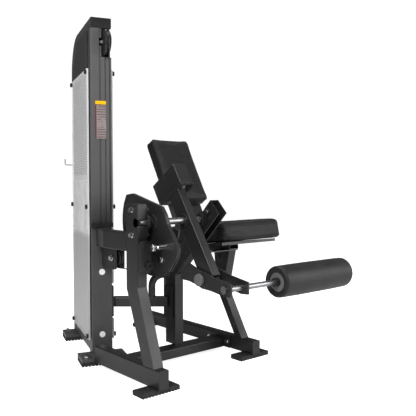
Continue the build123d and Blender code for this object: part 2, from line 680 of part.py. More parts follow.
def start_disc(cable_x):
    """Fan plate keyed to the shaft, with an arc slot for the start pin."""
    x = cable_x + 24
    reach = START_R + 22
    first = PIN_ANGLE - 90 + START_RANGE[0] - 14
    spread = START_RANGE[1] - START_RANGE[0] + 28
    wedge = [(KNEE_Y, KNEE_Z)]
    for share in range(5):
        angle = math.radians(first + share * spread / 4)
        wedge.append((KNEE_Y + 2 * reach * math.cos(angle), KNEE_Z + 2 * reach * math.sin(angle)))
    disc = rod(knee(x), knee(x + 8), reach) & profile(wedge, (x - 1, x + 9))
    disc += rod(knee(x), knee(x + 8), 44)
    arc = CenterArc((0, 0), START_R, PIN_ANGLE - 90 + START_RANGE[0] - 1, START_RANGE[1] - START_RANGE[0] + 2)
    plane = Plane(origin=knee(x - 1), x_dir=(0, 1, 0), z_dir=(1, 0, 0))
    slot = extrude(plane * SlotArc(arc, 12.7), 10)
    hub = rod(knee(x + 8), knee(x + 38), 30)
    return bored(disc + hub - slot, knee(x - 1), knee(x + 39), SHAFT_R)


def start_pin(cable_x):
    """Pull pin through the cam with a round knob, and its barrel and cable clamp bolt."""
    spot = START_PIN
    shaft = rod(knee(cable_x - 44, *spot), knee(cable_x + 31, *spot), 6)
    knob = fillet(rod(knee(cable_x - 60, *spot), knee(cable_x - 44, *spot), 15).edges(), 3)
    barrel = rod(knee(cable_x - 32, *spot), knee(cable_x - 8, *spot), 11)
    barrel = bored(barrel, knee(cable_x - 33, *spot), knee(cable_x, *spot), 6.05)
    clamp = hex_bolt(knee(cable_x - 8, -62, -155), (-1, 0, 0), size=22, height=9, washer=14)
    return shaft + knob, group([barrel, clamp])


def bearings():
    """Two-bolt flange bearings: one on the left post, one along the seat post's lean."""
    left_x = LEFT_RAIL_X + RAIL_WIDTH / 2
    right_x = SEAT_POST_X - RAIL_WIDTH / 2
    slant = 52 * math.sqrt(0.5)
    units = []
    bolts = []
    for base, way, ear in ((left_x, 1, (0, 52)), (right_x, -1, (-slant, slant))):
        flange = rod(knee(base), knee(base + way * 8), 34)
        for sign in (-1, 1):
            spot = (sign * ear[0], sign * ear[1])
            flange += rod(knee(base, *spot), knee(base + way * 8, *spot), 14)
            bolts.append(hex_bolt(knee(base + way * 8, *spot), (way, 0, 0), size=15, height=7, washer=10))
        flange += rod(knee(base + way * 8), knee(base + way * 20), 27)
        plane = Plane(origin=knee(base), x_dir=(0, ear[0], ear[1]), z_dir=(way, 0, 0))
        web = extrude(plane * Rectangle(104, 28), 8)
        units.append(bored(flange + web, knee(base - way * 2), knee(base + way * 22), SHAFT_R + 0.05))
    for z in (-52, 52):
        head = (LEFT_RAIL_X - RAIL_WIDTH / 2, POST_Y - 3, KNEE_Z + z)
        bolts.append(hex_bolt(head, (-1, 0, 0), size=20, height=10, washer=12))
    return units, bolts


def stop_block():
    """Moulded stop on the front of the bearing post, with two round buffers."""
    front = POST_Y - POST_DEPTH / 2
    x = (LEFT_RAIL_X - RAIL_WIDTH / 2 + 3, LEFT_RAIL_X + RAIL_WIDTH / 2 + 6)
    body = block(x, (front - 22, front), (475, 604))
    body = fillet(body.edges().filter_by(Axis.Y), 10)
    for z in (501, 576):
        spot = (LEFT_RAIL_X + 18, front - 22, z)
        body += rod(spot, (spot[0], spot[1] - 10, z), 17)
        body -= rod((spot[0], spot[1] - 11, z), (spot[0], spot[1] - 4, z), 8)
    return body


def main_shaft():
    left = LEFT_RAIL_X + RAIL_WIDTH / 2 - 30
    return rod(knee(left), knee(SEAT_POST_X - RAIL_WIDTH / 2 + 8), SHAFT_R)


def lever_point(along, across=0.0):
    """Y and Z of a point along the lever from the knee axis, across it toward the back."""
    y = KNEE_Y + along * LEVER_AXIS.Y + across * LEVER_AXIS.Z
    z = KNEE_Z + along * LEVER_AXIS.Z - across * LEVER_AXIS.Y
    return (y, z)


def lever_arm():
    """Box-section lever through the knee axis, with a hub on the shaft."""
    x = LEVER_X
    middle = (x[0] + x[1]) / 2
    low = lever_point(-LEVER_BOTTOM)
    high = lever_point(LEVER_TOP)
    tube = beam((middle, low[0], low[1]), (middle, high[0], high[1]), x[1] - x[0], LEVER_DEPTH)
    tube = tube + rod(knee(x[0] - 6), knee(x[1] + 8), 30)
    tube = bored(tube, knee(x[0] - 20), knee(x[1] + 20), SHAFT_R)
    pivot_y, pivot_z = ARM_PIVOT
    tube = tube + rod((x[0], pivot_y, pivot_z), (x[1], pivot_y, pivot_z), 22)
    return bored(tube, (x[0] - 9, pivot_y, pivot_z), (x[1] + 9, pivot_y, pivot_z), 10.05)


def counterweight():
    """Cast block on the lever's top plate."""
    low = LEVER_TOP + 10
    corners = [lever_point(low, -72), lever_point(low, 117), lever_point(low + 102, 115),
               lever_point(low + 102, -72)]
    weight = profile(corners, (LEVER_X[0], LEVER_X[0] + 72))
    weight = chamfer(weight.edges(), 2.5)
    plate = profile([lever_point(LEVER_TOP, -72), lever_point(LEVER_TOP, 104),
                     lever_point(low, 104), lever_point(low, -72)], (LEVER_X[0] - 2, LEVER_X[0] + 74))
    bolts = []
    for across in (-56, 74):
        y, z = lever_point(LEVER_TOP, across)
        head = ((LEVER_X[0] + LEVER_X[1]) / 2, y, z)
        bolts.append(hex_bolt(head, (0, -LEVER_AXIS.Y, -LEVER_AXIS.Z), size=14, height=7, washer=9))
    return weight, plate, bolts


def roller_arm():
    """Pair of shaped plates that swing on the lever's foot and carry the roller's shaft."""
    pivot_y, pivot_z = ARM_PIVOT
    axis_y, axis_z = ROLLER_AXIS
    outline = [(-594, 435), (-484, 452), (-443, 466), (-371, 480), (-323, 497), (-276, 448),
               (-267, 420), (-328, 418), (-375, 409), (-417, 396), (-466, 394), (-500, 390),
               (-555, 381), (-594, 384)]
    near = profile(outline, (LEVER_X[0] - 10, LEVER_X[0] - 1))
    far = profile(outline, (-136, -128))
    web = block((LEVER_X[0] - 1, -136), (-500, -470), (392, 400))
    arm = near + far + web
    for y, z, radius in ((pivot_y, pivot_z, 10.05), (axis_y, axis_z, 12.0)):
        arm = bored(arm, (-260, y, z), (-100, y, z), radius)
    return arm


def arm_pivot():
    """Pivot pin with its wide round cap, and the spacer beyond the lever."""
    y, z = ARM_PIVOT
    pin = rod((LEVER_X[0] - 10, y, z), (-126, y, z), 10)
    head = fillet(rod((LEVER_X[0] - 22, y, z), (LEVER_X[0] - 10.3, y, z), 26.5).edges().group_by(Axis.X)[0], 3)
    head += rod((LEVER_X[0] - 12, y, z), (LEVER_X[0] - 9, y, z), 10)
    nut = rod((-127.7, y, z), (-118, y, z), 15)
    spacer = rod((LEVER_X[1], y, z), (-136.3, y, z), 18) - rod((-200, y, z), (-100, y, z), 10)
    return [pin + head + nut + spacer]


def roller():
    """Foam roller on a hub tube, turning on the arm's shaft."""
    y, z = ROLLER_AXIS
    shaft = rod((LEVER_X[0] - 14, y, z), (ROLLER_X[1] - 6, y, z), 12)
    shaft += rod((LEVER_X[0] - 18, y, z), (LEVER_X[0] - 10, y, z), 16)
    collar = rod((ROLLER_X[0] - 12, y, z), (ROLLER_X[0] + 9.6, y, z), 19) - rod((0, y, z), (300, y, z), 12)
    hub = rod((ROLLER_X[0] + 10, y, z), (ROLLER_X[1] - 10, y, z), 26)
    for x in ((ROLLER_X[0] + 10, ROLLER_X[0] + 16), (ROLLER_X[1] - 16, ROLLER_X[1] - 10)):
        hub += rod((x[0], y, z), (x[1], y, z), 44)
    hub = bored(hub, (0, y, z), (600, y, z), 12.08)
    pad = fillet(rod((ROLLER_X[0], y, z), (ROLLER_X[1], y, z), ROLLER_R).edges(), 12)
    pad = bored(pad, (ROLLER_X[0] - 1, y, z), (ROLLER_X[1] + 1, y, z), 26)
    for x in ((ROLLER_X[0] - 1, ROLLER_X[0] + 16), (ROLLER_X[1] - 16, ROLLER_X[1] + 1)):
        pad = bored(pad, (x[0], y, z), (x[1], y, z), 44)
    end_cap = rod((ROLLER_X[1] - 9.6, y, z), (ROLLER_X[1] - 3, y, z), 30)
    end_cap -= rod((0, y, z), (ROLLER_X[1] - 6, y, z), 12)
    return shaft, [collar, end_cap], hub, pad


# ------------------------------------------------------------- seat and back

def seat_frame(along, rise):
    """Y and Z of a point along the tilted seat from its front top edge."""
    tilt = math.radians(SEAT_TILT)
    y = SEAT_FRONT[0] + along * math.cos(tilt) + rise * math.sin(tilt)
    z = SEAT_FRONT[1] - along * math.sin(tilt) + rise * math.cos(tilt)
    return (y, z)


def seat():
    """Cushion, its pan, and the rail that carries the back."""
    half = SEAT_WIDTH / 2
    base = -SEAT_THICK
    pad = profile([seat_frame(0, 0), seat_frame(SEAT_LENGTH, 0), seat_frame(SEAT_LENGTH, base),
                   seat_frame(0, base)], (SEAT_X - half, SEAT_X + half))
    pad = fillet(pad.edges().filter_by(Axis.X), 24)
    pad = fillet(pad.edges().group_by(Axis.X)[0] + pad.edges().group_by(Axis.X)[-1], 16)
    pan = profile([seat_frame(10, base - 0.5), seat_frame(340, base - 0.5),
                   seat_frame(340, SEAT_RAIL_RISE[0]), seat_frame(10, SEAT_RAIL_RISE[0])],
                  (SEAT_X - half + 6, SEAT_X + half - 60))
    return pad, pan


def seat_rail_point(y, depth):
    """Point under the seat rail at a place along Y, depth below its lower face."""
    tilt = math.radians(SEAT_TILT)
    low = SEAT_RAIL_RISE[1] - depth
    along = (y - SEAT_FRONT[0] - low * math.sin(tilt)) / math.cos(tilt)
    return seat_frame(along, low)


def seat_rail():
    """Flat tube under the seat from the bracket to the rear leg, slotted for the carriage pin."""
    centre = sum(SEAT_RAIL_RISE) / 2
    front = seat_frame(112, centre)
    back = seat_frame(682, centre)
    rail = beam((RIGHT_RAIL_X, front[0], front[1]), (RIGHT_RAIL_X, back[0], back[1]),
                SEAT_RAIL_WIDTH, SEAT_RAIL_RISE[0] - SEAT_RAIL_RISE[1])
    low, high = seat_frame(CARRIAGE_AT - 48, centre), seat_frame(CARRIAGE_AT + 68, centre)
    slot = profile([seat_frame(CARRIAGE_AT - 48, centre - 6.6), seat_frame(CARRIAGE_AT + 68, centre - 6.6),
                    seat_frame(CARRIAGE_AT + 68, centre + 6.6), seat_frame(CARRIAGE_AT - 48, centre + 6.6)],
                   (RIGHT_RAIL_X - 40, RIGHT_RAIL_X - 20))
    slot += rod((RIGHT_RAIL_X - 40, *low), (RIGHT_RAIL_X - 20, *low), 6.6)
    slot += rod((RIGHT_RAIL_X - 40, *high), (RIGHT_RAIL_X - 20, *high), 6.6)
    return rail - slot


def back_rest():
    """Pad, backing plate and cranked post of the backrest."""
    lean = math.radians(BACK_LEAN)
    up = (math.sin(lean), math.cos(lean))
    rear = (math.cos(lean), -math.sin(lean))

    def at(along, behind):
        return (BACK_FOOT[0] + along * up[0] + behind * rear[0],
                BACK_FOOT[1] + along * up[1] + behind * rear[1])

    half = BACK_WIDTH / 2
    pad = profile([at(0, 0), at(BACK_LENGTH, 0), at(BACK_LENGTH, BACK_THICK), at(0, BACK_THICK)],
                  (SEAT_X - half, SEAT_X + half))
    ends = [edge for edge in pad.edges() if abs(edge.center().X - SEAT_X) > half - 1]
    sides = [edge for edge in ends if abs(edge.length - BACK_THICK) < 1]
    pad = fillet(sides, 28)
    rims = [edge for edge in pad.edges() if edge.length > BACK_THICK * 1.05 or edge.geom_type == GeomType.CIRCLE]
    pad = fillet(rims, 10)
    plate = profile([at(-90, BACK_THICK + 0.5), at(BACK_LENGTH - 60, BACK_THICK + 0.5),
                     at(BACK_LENGTH - 60, BACK_THICK + 6), at(-90, BACK_THICK + 6)],
                    (SEAT_X - 112, SEAT_X + 112))
    behind = BACK_THICK + 6 + 25
    knee_at = (POST_CRANK - BACK_FOOT[0] - behind * rear[0]) / up[0]
    crank = at(knee_at, behind)
    high = at(260, behind)
    x = RIGHT_RAIL_X
    foot_z = seat_frame(CARRIAGE_AT, SEAT_RAIL_RISE[1])[1]
    upper = beam((x, *at(knee_at - 40, behind)), (x, *high), 50, 50)
    lower = beam((x, crank[0], foot_z), (x, crank[0], crank[1] + 40), 50, 50)
    mitre = Plane(origin=(x, *crank), z_dir=(0, up[0], up[1] + 1))
    post = split(upper, mitre, keep=Keep.TOP) + split(lower, mitre, keep=Keep.BOTTOM)
    return pad, plate, post


def carriage():
    """Sleeve that slides on the seat rail under the back post, and its pull pin."""
    centre = sum(SEAT_RAIL_RISE) / 2
    start = seat_frame(CARRIAGE_AT - CARRIAGE_LENGTH / 2, centre)
    end = seat_frame(CARRIAGE_AT + CARRIAGE_LENGTH / 2, centre)
    wide = SEAT_RAIL_WIDTH + 12.8
    high = SEAT_RAIL_RISE[0] - SEAT_RAIL_RISE[1] + 12.8
    sleeve = beam((RIGHT_RAIL_X, *start), (RIGHT_RAIL_X, *end), wide, high, wall=6.0)
    solid = extrude(Plane(origin=(RIGHT_RAIL_X, *start), x_dir=(1, 0, 0),
                          z_dir=Vector(0, end[0] - start[0], end[1] - start[1]))
                    * Rectangle(wide, high), CARRIAGE_LENGTH)
    middle = seat_frame(CARRIAGE_AT, centre)
    side = RIGHT_RAIL_X - wide / 2
    barrel = rod((side - 20, *middle), (side, *middle), 12)
    pin = rod((side - 34, *middle), (side + 14, *middle), 6)
    knob = fillet(rod((side - 52, *middle), (side - 34, *middle), 18).edges(), 4)
    hole = rod((side - 30, *middle), (side + 16, *middle), 6.05)
    return sleeve + barrel - hole, pin + knob, solid


def write(nodes):
    """Move everything so that the whole stands centred on the origin, and write it."""
    os.makedirs("parts", exist_ok=True)
    box = Compound(list(nodes.values())).bounding_box()
    shift = Pos(-box.center().X, -box.center().Y, -box.min.Z)
    for name, shape in nodes.items():
        export_step(shift * shape, "parts/" + name + ".step")
    print("nodes", len(nodes), "size", box.size, "shift", shift.position)


def main():
    nodes = {}
    left, right, cross, flange, bolts = base_rails()
    feet, base, tower_bolts = tower_base()
    left = left - base[-1]
    nodes["base_rails"] = group([left, right, cross])
    braces, brace_plates = brace()
    nodes["joint_plates"] = group([flange] + brace_plates)
    nodes["end_caps"] = group(rail_caps())
    nodes["rubber_feet"] = group(rail_feet() + feet)
    nodes["bearing_post"] = bearing_post()
    nodes["seat_post"] = seat_post()
    nodes["seat_legs"] = group([front_strut(), rear_leg()])
    nodes["seat_bracket"] = seat_bracket()
    nodes["braces"] = group(braces)
    nodes["link_arm"] = link_arm()
    nodes["stop_block"] = stop_block()
    nodes["tower_base"] = group(base)
    nodes["front_column"] = tower_column()
    nodes["column_plugs"] = column_plugs()
    nodes["rear_column_and_beam"] = tower_bow()
    nodes["tower_caps"] = group([beam_cap(), guard_shoe()])
    nodes["column_guard"] = column_guard()
    nodes["left_shroud"] = shroud(-1)
    nodes["right_shroud"] = shroud(1)
    nodes["upper_shrouds"] = group([upper_shroud(-1), upper_shroud(1)])
    nodes["shroud_knobs"] = standoffs()
    nodes["towel_hook"] = towel_hook()
    nodes["guard_label"] = group(warning_plate())
    down, up, head, stem, pin = weight_stack()
    nodes["resting_weight_plates"] = group(down)
    nodes["lifted_weight_plates"] = group(up)
    nodes["head_plate"] = head
    nodes["selector_stem"] = stem
    nodes["selector_pin"] = pin
    nodes["guide_rods"] = group(guide_rods())
    nodes["stack_bumpers"] = group(stack_bumpers())
    nodes["crossbar"] = group([crossbar()] + rear_pulley_bracket())
    wheels, axles = top_pulleys()
    nodes["rear_top_pulley"], nodes["front_top_pulley"], nodes["lower_pulley"] = wheels
    nodes["pulley_brackets"] = group([front_pulley_bracket(), lower_pulley_bracket()])
    nodes["cable"], anchor = cable()
    nodes["cam"] = cam(anchor[0])
    nodes["start_disc"] = start_disc(anchor[0])
    nodes["start_pin"], nodes["cam_fittings"] = start_pin(anchor[0])
    units, bearing_bolts = bearings()
    nodes["shaft_bearings"] = group(units)
    nodes["frame_bolts"] = group(bolts + tower_bolts + bearing_bolts + axles)
    nodes["main_shaft"] = main_shaft()
    weight, plate, weight_bolts = counterweight()
    nodes["lever_arm"] = lever_arm() + plate
    nodes["counterweight"] = weight
    nodes["lever_fasteners"] = group(weight_bolts + arm_pivot())
    nodes["roller_arm"] = roller_arm()
    shaft, collars, hub, pad = roller()
    nodes["roller_shaft"] = shaft
    nodes["roller_collars"] = group(collars)
    nodes["roller_hub"] = hub
    nodes["roller_pad"] = pad
    nodes["seat_pad"], nodes["seat_pan"] = seat()
    nodes["seat_rail"] = seat_rail()
    sleeve, pin, solid = carriage()
    nodes["back_pad"], nodes["back_plate"], post = back_rest()
    nodes["back_post"] = post - solid
    nodes["back_carriage"] = sleeve
    nodes["carriage_pin"] = pin
    write(nodes)


main()
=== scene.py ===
"""Looks of the leg extension machine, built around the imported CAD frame. Metres, +Z up."""

import json
import math

import bmesh
import bpy
import numpy as np
from mathutils import Matrix, Vector, noise
from mathutils.bvhtree import BVHTree

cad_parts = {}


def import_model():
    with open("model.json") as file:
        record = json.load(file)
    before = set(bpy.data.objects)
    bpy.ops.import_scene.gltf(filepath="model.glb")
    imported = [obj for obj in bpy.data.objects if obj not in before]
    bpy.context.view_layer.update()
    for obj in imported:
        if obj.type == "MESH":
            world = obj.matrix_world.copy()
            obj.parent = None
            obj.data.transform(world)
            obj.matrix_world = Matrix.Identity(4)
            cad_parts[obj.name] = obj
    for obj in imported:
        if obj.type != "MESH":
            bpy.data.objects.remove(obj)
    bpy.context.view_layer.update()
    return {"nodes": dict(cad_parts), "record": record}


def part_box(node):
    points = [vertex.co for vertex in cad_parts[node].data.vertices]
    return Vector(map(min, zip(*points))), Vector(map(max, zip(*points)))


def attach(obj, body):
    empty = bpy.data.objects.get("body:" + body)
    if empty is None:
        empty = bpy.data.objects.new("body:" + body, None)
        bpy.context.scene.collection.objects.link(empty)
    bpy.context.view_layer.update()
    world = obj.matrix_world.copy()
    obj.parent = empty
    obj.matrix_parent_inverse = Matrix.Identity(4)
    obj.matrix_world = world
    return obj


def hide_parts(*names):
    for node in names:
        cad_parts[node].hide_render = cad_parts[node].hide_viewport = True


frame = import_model()

# Lean of the upholstery and turn of the weight tower, as in the CAD
SEAT_TILT = math.radians(7)
BACK_LEAN = math.radians(29.5)
TOWER_TURN = math.radians(-18.9)
TOWER_FOOT = Vector((-0.3985, 0.0950, 0))

# Upholstery
FABRIC_GAP = 0.004
VOXEL = 0.010
PRESSURE = 4.0
SIM_FRAMES = 16
CLOTH_QUALITY = 3
SAG_DEPTH = 0.0011
PIPING_R = 0.0019
STITCH_R = 0.0006
STITCH_INSET = 0.0075

# Foam shin roller
ROLLER_RIM = 0.012
ROLLER_CROWN = 0.0015
ROLLER_RECESS = 0.016
ROLLER_LAYERS = 44

# Perforated sheet: hole pitch, and the field of holes in the tower's own axes
HOLE_PITCH = 0.0095
HOLE_ROW_RATIO = 1.732
HOLES_ALONG = (0.044, 0.425)
HOLES_UP = (0.880, 1.350)
HOLES_FADE = 0.002

# Placard on the side panel
PLACARD_FACE = -0.0585
PLACARD_CENTRE = (0.2345, 0.729)
PLACARD_HALF = (0.188, 0.127)
RIVET_INSET = 0.012

# Lights: name, place, what it faces, size, power
LIGHTS = (
    ("key", (2.6, -3.2, 1.7), (0, 0, 0.75), (2.6, 2.6), 105),
    ("left", (-3.6, -2.4, 3.4), (-0.3, 0, 0.8), (1.8, 1.8), 165),
    ("above", (0.0, 0.3, 4.4), (0, 0, 0.5), (3.2, 3.2), 110),
)
FLOOR_RADIUS = 9.0
FLOOR_GLOW = 0.9
FILL_LIGHT = 0.09
BACKDROP_WHITE = 1.05

# Camera, solved from the machine's straight edges
CAMERA_AT = Vector((-1.8405, -2.3405, 0.840))
CAMERA_AZIMUTH = math.radians(40.77)
CAMERA_PITCH = math.radians(2.365)
CAMERA_LENS = 51.52


# ------------------------------------------------------------------ node helpers

class Graph:
    """A material's node tree with short calls for the nodes it needs."""

    def __init__(self, name):
        self.material = bpy.data.materials.new(name)
        self.material.use_nodes = True
        self.tree = self.material.node_tree
        self.tree.nodes.clear()
        self.output = self.tree.nodes.new("ShaderNodeOutputMaterial")
        self.shader = self.tree.nodes.new("ShaderNodeBsdfPrincipled")
        self.tree.links.new(self.shader.outputs[0], self.output.inputs[0])
        self.place = self.tree.nodes.new("ShaderNodeTexCoord").outputs["Object"]

    def link(self, source, target):
        self.tree.links.new(source, target)

    def feed(self, socket, value):
        if isinstance(value, bpy.types.NodeSocket):
            self.link(value, socket)
        else:
            socket.default_value = value

    def math(self, operation, a, b=0.0, clamp=False):
        node = self.tree.nodes.new("ShaderNodeMath")
        node.operation = operation
        node.use_clamp = clamp
        self.feed(node.inputs[0], a)
        self.feed(node.inputs[1], b)
        return node.outputs[0]

    def noise(self, scale, detail=3.0, rough=0.55, place=None):
        node = self.tree.nodes.new("ShaderNodeTexNoise")
        node.inputs["Scale"].default_value = scale
        node.inputs["Detail"].default_value = detail
        node.inputs["Roughness"].default_value = rough
        self.link(place or self.place, node.inputs["Vector"])
        return node.outputs["Fac"]

    def cells(self, scale, feature="DISTANCE_TO_EDGE"):
        node = self.tree.nodes.new("ShaderNodeTexVoronoi")
        node.feature = feature
        node.inputs["Scale"].default_value = scale
        self.link(self.place, node.inputs["Vector"])
        return node.outputs["Distance"]

    def ramp(self, value, low, high, out_low=0.0, out_high=1.0):
        node = self.tree.nodes.new("ShaderNodeMapRange")
        node.inputs["From Min"].default_value = low
        node.inputs["From Max"].default_value = high
        node.inputs["To Min"].default_value = out_low
        node.inputs["To Max"].default_value = out_high
        self.link(value, node.inputs["Value"])
        return node.outputs[0]

    def mix(self, share, a, b):
        node = self.tree.nodes.new("ShaderNodeMix")
        node.data_type = "RGBA"
        self.feed(node.inputs[0], share)
        for socket, value in ((node.inputs[6], a), (node.inputs[7], b)):
            if isinstance(value, bpy.types.NodeSocket):
                self.link(value, socket)
            else:
                socket.default_value = (*value, 1.0)
        return node.outputs[2]

    def bump(self, height, strength, distance, below=None):
        node = self.tree.nodes.new("ShaderNodeBump")
        node.inputs["Strength"].default_value = strength
        node.inputs["Distance"].default_value = distance
        self.link(height, node.inputs["Height"])
        if below is not None:
            self.link(below, node.inputs["Normal"])
        return node.outputs[0]

    def split(self, turn=0.0, origin=(0, 0, 0)):
        """x, y and z of the object's own place, turned about +Z."""
        mapping = self.tree.nodes.new("ShaderNodeMapping")
        mapping.vector_type = "TEXTURE"
        mapping.inputs["Location"].default_value = origin
        mapping.inputs["Rotation"].default_value = (0, 0, turn)
        self.link(self.place, mapping.inputs["Vector"])
        parts = self.tree.nodes.new("ShaderNodeSeparateXYZ")
        self.link(mapping.outputs[0], parts.inputs[0])
        return parts.outputs[0], parts.outputs[1], parts.outputs[2]

    def set(self, **values):
        for name, value in values.items():
            self.feed(self.shader.inputs[name.replace("_", " ")], value)
        return self.material

    def rounded(self, radius):
        """The surface normal, eased over edges by radius."""
        node = self.tree.nodes.new("ShaderNodeBevel")
        node.samples = 4
        node.inputs["Radius"].default_value = radius
        return node.outputs[0]

    def edges(self, radius=0.0022):
        """1 along edges, 0 on the faces between them."""
        turned = self.tree.nodes.new("ShaderNodeVectorMath")
        turned.operation = "DOT_PRODUCT"
        self.link(self.rounded(radius), turned.inputs[0])
        self.link(self.tree.nodes.new("ShaderNodeNewGeometry").outputs["Normal"], turned.inputs[1])
        return self.ramp(turned.outputs["Value"], 0.985, 0.86)


def shade(color, factor):
    """The colour made lighter or darker by factor."""
    return tuple(min(1.0, c * factor) for c in color)


def painted(name, color, rough, wear=0.35, coat=0.15):
    """Powder coat: orange peel, faint dust, lighter worn edges."""
    g = Graph(name)
    cloud = g.noise(7.0, 4.0)
    tone = g.mix(g.ramp(cloud, 0.3, 0.7), shade(color, 0.86), shade(color, 1.14))
    fleck = g.ramp(g.noise(1500.0, 1.0), 0.62, 0.72)
    tone = g.mix(g.math("MULTIPLY", fleck, 0.25), tone, shade(color, 2.2))
    scuff = g.math("MULTIPLY", g.edges(), g.ramp(g.noise(60.0, 4.0), 0.42, 0.62))
    tone = g.mix(g.math("MULTIPLY", scuff, wear), tone, (0.32, 0.32, 0.33))
    peel = g.bump(g.noise(420.0, 2.0), 0.12, 0.0005, g.rounded(0.0014))
    gloss = g.ramp(cloud, 0.25, 0.75, rough - 0.05, rough + 0.07)
    g.set(Base_Color=tone, Roughness=gloss, Normal=peel)
    return g.set(Coat_Weight=coat, Coat_Roughness=0.22)


def plastic(name, color, rough, grain=900.0, strength=0.2):
    """Moulded plastic with a fine spark-eroded grain and a painted highlight along every edge."""
    g = Graph(name)
    cloud = g.noise(11.0, 3.0)
    tone = g.mix(g.ramp(cloud, 0.3, 0.7), shade(color, 0.88), shade(color, 1.12))
    # painted highlight: every edge is lightened evenly
    tone = g.mix(g.math("MULTIPLY", g.edges(), 0.25), tone, shade(color, 1.9))
    grain_bump = g.bump(g.noise(grain, 2.0), strength, 0.0005, g.rounded(0.0012))
    gloss = g.ramp(cloud, 0.3, 0.7, rough - 0.04, rough + 0.06)
    return g.set(Base_Color=tone, Roughness=gloss, Normal=grain_bump)


def rubber(name, color):
    """Dull rubber with pale dust in patches."""
    g = Graph(name)
    dust = g.ramp(g.noise(30.0, 5.0, 0.7), 0.45, 0.75)
    tone = g.mix(g.math("MULTIPLY", dust, 0.35), color, shade(color, 2.6))
    pores = g.bump(g.noise(700.0, 3.0), 0.35, 0.0008)
    return g.set(Base_Color=tone, Roughness=g.ramp(g.noise(90.0), 0.3, 0.7, 0.66, 0.82), Normal=pores)


def metal(name, color, rough, brushed):
    """Plated or ground steel: fine streaks, fingerprints in the roughness."""
    g = Graph(name)
    cloud = g.noise(26.0, 4.0)
    stretch = g.tree.nodes.new("ShaderNodeMapping")
    stretch.inputs["Scale"].default_value = (0.06, 1.0, 1.0)
    g.link(g.place, stretch.inputs["Vector"])
    streak = g.noise(900.0, 3.0, 0.6, stretch.outputs[0])
    tone = g.mix(g.ramp(cloud, 0.3, 0.7), shade(color, 0.84), shade(color, 1.08))
    tone = g.mix(g.math("MULTIPLY", g.ramp(streak, 0.4, 0.6), brushed), tone, shade(color, 0.62))
    g.set(Base_Color=tone, Normal=g.bump(streak, 0.1 + 0.3 * brushed, 0.0003))
    g.set(Roughness=g.ramp(cloud, 0.25, 0.75, rough * 0.8, rough * 1.3))
    return g.set(Metallic=1.0)


def leather(name, color):
    """Upholstery vinyl: pebbled grain with painted shade in its valleys, soft creases, slight shine on the
    high spots.
    """
    g = Graph(name)
    pebble = g.cells(520.0)
    crease = g.noise(34.0, 5.0, 0.62)
    fine = g.noise(1300.0, 2.0)
    tone = g.mix(g.ramp(crease, 0.3, 0.7), shade(color, 0.8), shade(color, 1.22))
    # painted shade: the valleys between the pebbles are darkened
    tone = g.mix(g.ramp(pebble, 0.0, 0.09, 0.5, 0.0), tone, shade(color, 0.45))
    rough = g.math("ADD", g.ramp(crease, 0.3, 0.7, 0.38, 0.5), g.ramp(pebble, 0.0, 0.1, 0.14, 0.0))
    low = g.bump(crease, 0.22, 0.0035)
    mid = g.bump(g.ramp(pebble, 0.0, 0.16), 0.34, 0.0006, low)
    top = g.bump(fine, 0.15, 0.0003, mid)
    g.set(Base_Color=tone, Roughness=rough, Normal=top)
    return g.set(Specular_IOR_Level=0.28, Sheen_Weight=0.05, Sheen_Roughness=0.45)


def foam_skin(name, color):
    """Closed-cell foam with a smooth skin and tiny pores."""
    g = Graph(name)
    cloud = g.noise(14.0, 4.0)
    pores = g.ramp(g.cells(650.0, "F1"), 0.0, 0.45)
    tone = g.mix(g.ramp(cloud, 0.3, 0.7), shade(color, 0.85), shade(color, 1.18))
    low = g.bump(cloud, 0.25, 0.003)
    top = g.bump(pores, 0.28, 0.0004, low)
    g.set(Base_Color=tone, Roughness=g.ramp(cloud, 0.3, 0.7, 0.46, 0.58), Normal=top)
    return g.set(Specular_IOR_Level=0.35, Sheen_Weight=0.03, Sheen_Roughness=0.5)


def casting(name, color):
    """Thickly painted iron plate."""
    g = Graph(name)
    sand = g.noise(260.0, 4.0, 0.6)
    tone = g.mix(g.ramp(g.noise(9.0, 4.0), 0.3, 0.7), shade(color, 0.85), shade(color, 1.2))
    worn = g.math("MULTIPLY", g.edges(), g.ramp(g.noise(80.0, 3.0), 0.45, 0.6))
    tone = g.mix(g.math("MULTIPLY", worn, 0.3), tone, (0.2, 0.2, 0.2))
    grit = g.bump(sand, 0.3, 0.0007, g.rounded(0.002))
    g.set(Base_Color=tone, Roughness=g.ramp(sand, 0.3, 0.7, 0.42, 0.56), Normal=grit)
    return g.set(Coat_Weight=0.1, Coat_Roughness=0.3)


